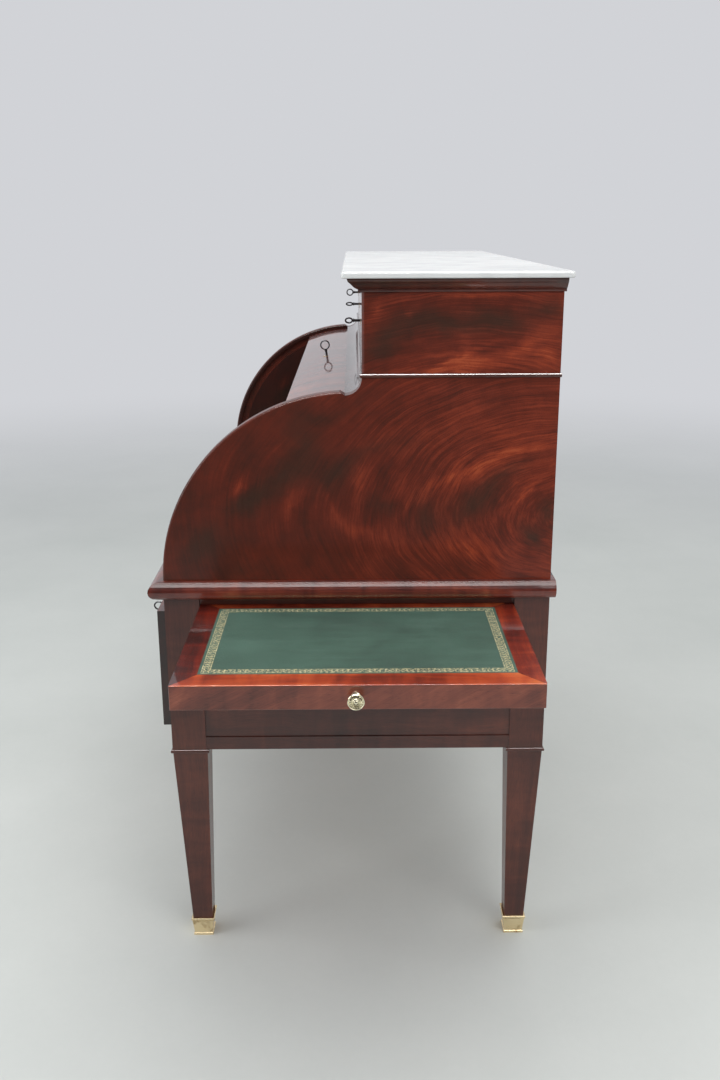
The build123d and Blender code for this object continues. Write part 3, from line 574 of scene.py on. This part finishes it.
def place_mesh(name, bm, at, facing, up=(0, 0, 1)):
    """Finishes a mesh made along local +Z (up along local +Y) and puts it at a point, facing away."""
    z = Vector(facing).normalized()
    x = Vector(up).cross(z).normalized()
    turn = Matrix((x, z.cross(x), z)).transposed()
    bmesh.ops.transform(bm, matrix=Matrix.Translation(at) @ turn.to_4x4(), verts=bm.verts)
    bmesh.ops.recalc_face_normals(bm, faces=bm.faces)
    mesh = bpy.data.meshes.new(name)
    bm.to_mesh(mesh)
    bm.free()
    return mesh


def brass_piece(name, bm, at, facing, body, up=(0, 0, 1), material=BRASS):
    made = new_object(name, place_mesh(name, bm, at, facing, up), material)
    for face in made.data.polygons:
        face.use_smooth = True
    made.data.set_sharp_from_angle(angle=SHARP_ANGLE)
    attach(made, body)
    return made


def turned_solid(profile, segments, flutes=0):
    """A lathe-turned solid from (radius, height, flute depth) in mm, closed at both ends."""
    bm = bmesh.new()
    rings = []
    for radius, height, depth in profile:
        if radius == 0:
            rings.append([bm.verts.new((0, 0, height / 1000))])
            continue
        ring = []
        for k in range(segments):
            turn = 2 * math.pi * k / segments
            wave = max(0.0, math.cos(turn * flutes)) ** 0.6 if flutes else 0.0
            level = height - depth * wave
            ring.append(bm.verts.new((radius * math.cos(turn) / 1000, radius * math.sin(turn) / 1000,
                                      level / 1000)))
        rings.append(ring)
    for low, high in zip(rings, rings[1:]):
        for k in range(segments):
            n = (k + 1) % segments
            if len(low) == 1:
                bm.faces.new((low[0], high[k], high[n]))
            elif len(high) == 1:
                bm.faces.new((low[k], low[n], high[0]))
            else:
                bm.faces.new((low[k], low[n], high[n], high[k]))
    return bm


SLIDE_KNOB = (
    (0, 0, 0), (7.4, 0, 0), (8.0, 0.3, 0), (8.0, 1.0, 0), (7.4, 1.5, 0), (6.4, 2.2, 0), (5.0, 2.8, 0),
    (4.5, 3.8, 0), (4.3, 6.0, 0), (4.6, 8.4, 0), (5.4, 9.8, 0), (7.0, 11.1, 0), (9.4, 12.2, 0),
    (11.4, 13.4, 0), (12.6, 14.8, 0), (13.0, 16.2, 0), (13.1, 17.2, 0), (12.9, 18.2, 0), (12.3, 18.8, 0),
    (11.6, 18.9, 0), (11.1, 18.6, 0), (10.8, 18.0, 0), (10.5, 17.9, 0), (9.9, 18.3, 1.0), (9.0, 18.8, 1.3),
    (8.0, 19.0, 1.3), (7.2, 19.0, 1.0), (6.7, 18.7, 0), (6.3, 18.2, 0), (6.0, 18.3, 0), (5.7, 19.3, 0),
    (5.2, 19.7, 0), (4.6, 19.7, 0), (4.2, 19.2, 0), (3.9, 18.8, 0), (3.5, 19.0, 0), (2.9, 19.9, 0),
    (2.0, 20.4, 0), (1.0, 20.6, 0), (0, 20.6, 0))
GALLERY_KNOB = (
    (0, 0, 0), (4.4, 0, 0), (4.8, 0.3, 0), (4.6, 0.9, 0), (3.2, 1.3, 0), (2.1, 2.0, 0), (1.9, 3.6, 0),
    (2.4, 5.0, 0), (4.0, 6.2, 0), (5.2, 7.6, 0), (5.6, 9.0, 0), (5.3, 10.4, 0), (4.4, 11.4, 0),
    (3.0, 12.0, 0), (2.4, 11.8, 0), (1.8, 12.1, 0), (0.9, 12.5, 0), (0, 12.6, 0))


# A keyhole in mm: the round hole's radius, half the slot's width, the slot's foot and its corners
HOLE_RADIUS, SLOT_HALF, SLOT_FOOT, SLOT_CORNER = 2.65, 1.35, -7.9, 0.4
# Section of a keyhole liner in mm: how far out from the hole's edge, and how high
LINER = ((0.0, 0.0), (0.0, 0.35), (0.25, 0.55), (0.85, 0.55), (1.1, 0.35), (1.1, 0.0))
LINER_STEPS = 20


def keyhole_liner():
    """A thin raised lip round a keyhole: a round hole with a slot below it."""
    bm = bmesh.new()
    loops = []
    for grow, level in LINER:
        hole, half, foot = HOLE_RADIUS + grow, SLOT_HALF + grow, SLOT_FOOT - grow
        start = -math.asin(half / hole)
        sweep = math.pi - 2 * start
        turns = [start + sweep * k / LINER_STEPS for k in range(LINER_STEPS, -1, -1)]
        outline = [(-half + SLOT_CORNER, foot), (-half, foot + SLOT_CORNER)]
        outline += [(hole * math.cos(turn), hole * math.sin(turn)) for turn in turns]
        outline += [(half, foot + SLOT_CORNER), (half - SLOT_CORNER, foot)]
        loops.append([bm.verts.new((x / 1000, y / 1000, level / 1000)) for x, y in outline])
    count = len(loops[0])
    for inner, outer in zip(loops, loops[1:] + loops[:1]):
        for k in range(count):
            n = (k + 1) % count
            bm.faces.new((inner[k], inner[n], outer[n], outer[k]))
    return bm


def plate(width, height, thick, bevel, screws, rise):
    """A flat plate lying in local XY with softened edges and countersunk screws standing on it."""
    bm = bmesh.new()
    bmesh.ops.create_cube(bm, size=1.0, matrix=Matrix.Translation((0, 0, thick / 2))
                          @ Matrix.Diagonal((width, height, thick, 1)))
    bmesh.ops.bevel(bm, geom=list(bm.edges), offset=bevel, segments=2, profile=0.6, affect="EDGES")
    dome = ((0, 0, 0), (2.2, 0, 0), (2.2, 0.25 * rise, 0), (1.9, 0.7 * rise, 0), (1.0, 0.92 * rise, 0),
            (0, rise, 0))
    for x, y in screws:
        head = turned_solid(dome, 20)
        bmesh.ops.transform(head, matrix=Matrix.Translation((x, y, thick)), verts=head.verts)
        mesh = bpy.data.meshes.new("screw")
        head.to_mesh(mesh)
        head.free()
        bm.from_mesh(mesh)
        bpy.data.meshes.remove(mesh)
    return bm


for side, sign in SIDES:
    node = "side_slide_knob_" + side
    low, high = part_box(node)
    foot = Vector((low.x if sign > 0 else high.x, (low.y + high.y) / 2, (low.z + high.z) / 2))
    knob = brass_piece("slide_knob_" + side, turned_solid(SLIDE_KNOB, 128, 16), foot, (sign, 0, 0),
                       "side_slide_" + side, material=KNOB_BRASS)
    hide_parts(node)

for name in GALLERY_DRAWERS:
    low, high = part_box("gallery_drawer_" + name)
    at = ((low.x + high.x) / 2, low.y, (low.z + high.z) / 2)
    brass_piece("gallery_knob_" + name, turned_solid(GALLERY_KNOB, 40), at, (0, -1, 0),
                "gallery_drawer_" + name)

LOWER_LOCK_DROP = 0.039             # the lower drawers' keyholes, down from the front's top
LOCK_RISE = 0.006                   # a lock plate's middle, up from its keyhole
SELVEDGE_INSET = 0.007              # a brass strip's middle, in from the back of the drawer's front
LOCK_PLATE = (0.062, 0.034, 0.0012, 0.0003)         # width, height, thickness and bevel
SELVEDGE = (0.062, 0.010, 0.0004, 0.0001)
LOCK_SCREWS = ((-0.025, 0.008), (0.025, 0.008), (-0.025, -0.008), (0.025, -0.008))
SELVEDGE_SCREWS = ((-0.024, 0), (0.024, 0))
for name in UPPER_DRAWERS + ("deep_drawer_left", "deep_drawer_right", "centre_drawer"):
    low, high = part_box(name + "_front")
    middle = (low.x + high.x) / 2
    lock_z = (low.z + high.z) / 2 if name in UPPER_DRAWERS else high.z - LOWER_LOCK_DROP
    brass_piece("keyhole_liner_" + name, keyhole_liner(), (middle, low.y, lock_z), (0, -1, 0), name)
    brass_piece("lock_plate_" + name, plate(*LOCK_PLATE, LOCK_SCREWS, 0.6),
                (middle, high.y, lock_z + LOCK_RISE), (0, 1, 0), name)
    brass_piece("selvedge_" + name, plate(*SELVEDGE, SELVEDGE_SCREWS, 0.2),
                (middle, high.y - SELVEDGE_INSET, high.z), (0, 0, 1), name, up=(0, 1, 0))

outward = Vector((0, -math.sin(KEY_ANGLE), math.cos(KEY_ANGLE)))
upward = Vector((0, math.cos(KEY_ANGLE), math.sin(KEY_ANGLE)))
brass_piece("keyhole_liner_fall", keyhole_liner(), Vector((0, *AXIS)) + outward * SHELL_RADIUS, outward,
            "cylinder", up=upward)


# Stage, light and camera

def sheet_mesh(name, corners):
    mesh = bpy.data.meshes.new(name)
    mesh.from_pydata(corners, [], [tuple(range(len(corners)))])
    return mesh


FADE_FROM, FADE_TO = 1.6, 7.0       # distances from the middle of the floor


def floor_material():
    """A pale painted floor that fades away with distance from the desk."""
    g = Graph("studio_floor", Specular_IOR_Level=0.0)
    cloud = g.noise(g.place, 1.1, 5, 0.6)
    speck = g.noise(g.place, 60, 3, 0.7)
    value = g.total(0.5, (cloud, 0.8, 0.5), (speck, 0.12, 0.5))
    g.set("Base Color", g.ramp(value, ((0.3, srgb(196, 200, 196)), (0.7, srgb(208, 211, 207)))))
    g.set("Roughness", g.total(0.42, (cloud, 0.3, 0.5)))
    far = g.node("ShaderNodeVectorMath", {0: g.place}, operation="LENGTH").outputs["Value"]
    g.set("Alpha", g.math("SUBTRACT", 1.0, g.between(far, FADE_FROM, FADE_TO)))
    return g.material


FLOOR_HALF = 8.0
FLAG_X, FLAG_HALF, FLAG_TOP = 3.35, 3.2, 3.4
floor = new_object("studio_floor", sheet_mesh("studio_floor", [
    (-FLOOR_HALF, -FLOOR_HALF, 0), (FLOOR_HALF, -FLOOR_HALF, 0), (FLOOR_HALF, FLOOR_HALF, 0),
    (-FLOOR_HALF, FLOOR_HALF, 0)]), floor_material())
# A dark sheet behind the camera, seen only in reflections
flag_look = Graph("studio_flag", Base_Color=srgb(60, 46, 46), Roughness=0.9, Specular_IOR_Level=0.0)
flag = new_object("studio_flag", sheet_mesh("studio_flag", [
    (FLAG_X, -FLAG_HALF, 0), (FLAG_X, FLAG_HALF, 0), (FLAG_X, FLAG_HALF, FLAG_TOP),
    (FLAG_X, -FLAG_HALF, FLAG_TOP)]), flag_look.material)
flag.visible_camera = False
flag.visible_diffuse = False
flag.visible_shadow = False
flag.visible_transmission = False

world = bpy.data.worlds.new("studio")
bpy.context.scene.world = world
world.use_nodes = True
sky = world.node_tree.nodes["Background"]
sky.inputs["Color"].default_value = (0.640, 0.650, 0.680, 1)
sky.inputs["Strength"].default_value = 1.0


def area_light(name, at, look_at, size, power, colour=(1, 1, 1)):
    data = bpy.data.lights.new(name, "AREA")
    data.shape = "RECTANGLE"
    data.size, data.size_y = size
    data.energy = power
    data.color = colour
    made = bpy.data.objects.new(name, data)
    bpy.context.scene.collection.objects.link(made)
    made.location = at
    made.rotation_mode = "QUATERNION"
    made.rotation_quaternion = (Vector(look_at) - Vector(at)).to_track_quat("-Z", "Y")
    return made


area_light("ceiling", (0.4, 0.2, 3.1), (0.3, 0.0, 0.0), (3.2, 2.4), 50.0, (1.0, 0.985, 0.96))
tube = area_light("tube", (1.15, 0.0, 3.0), (0.8, 0.0, 0.0), (2.6, 0.24), 90.0, (1.0, 0.98, 0.97))
tube.visible_diffuse = False        # it only shows in reflections
area_light("window", (1.2, -3.2, 1.9), (0.3, 0.0, 0.8), (2.4, 1.8), 40.0, (0.96, 0.98, 1.0))
area_light("fill", (3.0, 1.6, 2.4), (0.5, 0.0, 0.7), (2.0, 1.6), 26.0)

# The camera that was fitted to the photograph's straight edges: its turns are in radians
EYE = (2.46977, -0.0043, 1.36115)
PITCH, YAW, ROLL = 0.28646, -0.0056, -0.00394
camera_data = bpy.data.cameras.new("camera")
camera_data.sensor_width = 36
camera_data.lens = 35.827
camera_data.clip_start = 0.05
camera_data.clip_end = 200
camera = bpy.data.objects.new("camera", camera_data)
bpy.context.scene.collection.objects.link(camera)
ahead = Vector((-math.cos(YAW), -math.sin(YAW), 0))
level = Vector((-math.sin(YAW), math.cos(YAW), 0))
sight = ahead * math.cos(PITCH) - Vector((0, 0, math.sin(PITCH)))
rise = Vector((0, 0, math.cos(PITCH))) + ahead * math.sin(PITCH)
right = level * math.cos(ROLL) + rise * math.sin(ROLL)
over = rise * math.cos(ROLL) - level * math.sin(ROLL)
camera.location = EYE
camera.rotation_mode = "QUATERNION"
camera.rotation_quaternion = Matrix((right, over, -sight)).transposed().to_quaternion()
bpy.context.scene.camera = camera
bpy.context.scene.view_settings.view_transform = "Standard"
